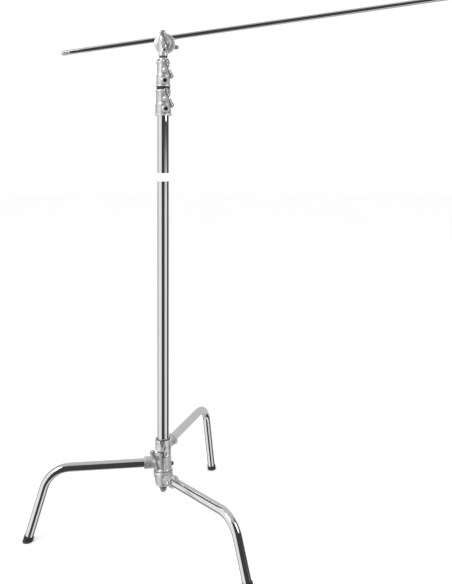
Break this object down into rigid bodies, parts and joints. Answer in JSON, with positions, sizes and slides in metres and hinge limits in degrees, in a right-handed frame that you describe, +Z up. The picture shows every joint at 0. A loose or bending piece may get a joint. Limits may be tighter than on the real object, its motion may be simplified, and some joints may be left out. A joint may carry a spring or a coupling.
{
  "type": "c stand",
  "caption": "Grip stand with three turtle-style swinging legs, telescoping column, disc grip head and long extension arm.",
  "frame": {"origin": "on the floor, under the column's axis, in the plane of the three soles", "axes": "+Z up along the column; +X towards the side of the arm's long end; +Y from the receiver to the jaws"},
  "size_m": [1.2845, 0.6835, 1.5955],
  "materials": {
    "chrome_tube": "polished chrome plate",
    "satin_casting": "satin nickel over a die casting",
    "satin_handle": "satin bright cast",
    "zinc_steel": "bright zinc",
    "black_screw": "black oxide",
    "spring_steel": "oiled spring steel",
    "brass_pad": "plain",
    "black_rubber": "moulded matt",
    "black_plastic": "moulded",
    "nylon": "natural nylon",
    "white_label": "blank film",
    "friction_fibre": "pressed fibre"
  },
  "bodies": {
    "base": {"base_casting": "satin_casting", "base_retaining_ring": "spring_steel", "hub_thrust_washers": "nylon", "base_side_screw": "black_screw", "tie_bolt": "zinc_steel", "tie_nut": "zinc_steel", "base_disc_springs": "spring_steel", "middle_leg_tube": "chrome_tube", "middle_leg_foot": "black_rubber", "middle_leg_bolt": "zinc_steel", "base_lock_pad": "brass_pad"},
    "top_leg": {"top_leg_hub": "satin_casting", "top_leg_tube": "chrome_tube", "top_leg_foot": "black_rubber", "top_leg_bolt": "zinc_steel"},
    "bottom_leg": {"bottom_leg_hub": "satin_casting", "bottom_hub_screw": "black_screw", "bottom_leg_tube": "chrome_tube", "bottom_leg_foot": "black_rubber", "bottom_leg_bolt": "zinc_steel"},
    "base_lock": {"base_lock_handle": "satin_handle", "base_lock_screw": "zinc_steel"},
    "column": {"column_tube": "chrome_tube", "column_spigot": "zinc_steel", "blank_label": "white_label", "lower_collar": "satin_casting", "lower_collar_bush": "nylon", "lower_pinch_bolt": "black_screw", "lower_lock_pad": "brass_pad", "buffer_ring": "black_plastic"},
    "lower_lock": {"lower_lock_handle": "satin_handle", "lower_lock_screw": "zinc_steel"},
    "middle_riser": {"middle_riser_tube": "chrome_tube", "middle_riser_guide": "nylon", "upper_collar": "satin_casting", "upper_collar_bush": "nylon", "upper_pinch_bolt": "black_screw", "upper_grub_screw": "black_screw", "upper_lock_pad": "brass_pad"},
    "upper_lock": {"upper_lock_handle": "satin_handle", "upper_lock_screw": "zinc_steel"},
    "top_riser": {"top_riser_tube": "chrome_tube", "top_riser_guide": "nylon", "stud": "zinc_steel", "stud_ring": "black_plastic", "stud_pin": "zinc_steel"},
    "receiver": {"receiver": "satin_casting", "receiver_screw": "black_screw", "clamp_bolt": "zinc_steel", "friction_disc": "friction_fibre"},
    "head_lock": {"head_lock_handle": "satin_handle", "head_lock_screw": "zinc_steel"},
    "inner_jaw": {"inner_jaw": "satin_casting", "jaw_spring": "spring_steel"},
    "outer_jaw": {"outer_jaw": "satin_casting"},
    "clamp_handle": {"clamp_handle": "satin_handle", "thrust_washer": "zinc_steel"},
    "arm": {"arm_tube": "chrome_tube", "arm_end_plugs": "zinc_steel"}
  },
  "joints": [
    {"name": "top_leg_swing", "type": "hinge", "parent": "base", "child": "top_leg", "pos_m": [0, 0, 0.2357], "axis": [0, 0, 1], "range_deg": [0, 110]},
    {"name": "bottom_leg_swing", "type": "hinge", "parent": "base", "child": "bottom_leg", "pos_m": [0, 0, 0.1497], "axis": [0, 0, 1], "range_deg": [-110, 0]},
    {"name": "base_lock_turn", "type": "hinge", "parent": "base", "child": "base_lock", "pos_m": [0, 0, 0.221], "axis": [-0.2924, -0.9563, 0], "range_deg": [0, 720]},
    {"name": "column_lift", "type": "slide", "parent": "base", "child": "column", "axis": [0, 0, 1], "range_m": [0, 0.1]},
    {"name": "lower_lock_turn", "type": "hinge", "parent": "column", "child": "lower_lock", "pos_m": [0, 0, 1.272], "axis": [0.454, -0.891, 0], "range_deg": [0, 720]},
    {"name": "middle_riser_slide", "type": "slide", "parent": "column", "child": "middle_riser", "axis": [0, 0, 1], "range_m": [0, 0.88]},
    {"name": "upper_lock_turn", "type": "hinge", "parent": "middle_riser", "child": "upper_lock", "pos_m": [0, 0, 1.357], "axis": [0.4305, -0.9026, 0], "range_deg": [0, 720]},
    {"name": "top_riser_slide", "type": "slide", "parent": "middle_riser", "child": "top_riser", "axis": [0, 0, 1], "range_m": [0, 0.88]},
    {"name": "head_swivel", "type": "hinge", "parent": "top_riser", "child": "receiver", "pos_m": [0, 0, 1.42], "axis": [0, 0, 1], "continuous": true},
    {"name": "head_lock_turn", "type": "hinge", "parent": "receiver", "child": "head_lock", "pos_m": [0, 0, 1.441], "axis": [0.2588, -0.9659, 0], "range_deg": [0, 720]},
    {"name": "head_tilt", "type": "hinge", "parent": "receiver", "child": "inner_jaw", "pos_m": [0, 0.033, 1.443], "axis": [0, 1, 0], "continuous": true},
    {"name": "arm_slide", "type": "slide", "parent": "inner_jaw", "child": "arm", "axis": [0.9898, 0, 0.1426], "range_m": [-0.82, 0.25]},
    {"name": "outer_jaw_slide", "type": "slide", "parent": "inner_jaw", "child": "outer_jaw", "axis": [0, 1, 0], "range_m": [0, 0.006]},
    {"name": "clamp_turn", "type": "hinge", "parent": "outer_jaw", "child": "clamp_handle", "pos_m": [0, 0.06, 1.443], "axis": [0, 1, 0], "range_deg": [0, 1441]}
  ],
  "couplings": [
    {"joint": "clamp_turn", "follows": "outer_jaw_slide", "rad_per_m": 4188.8}
  ]
}
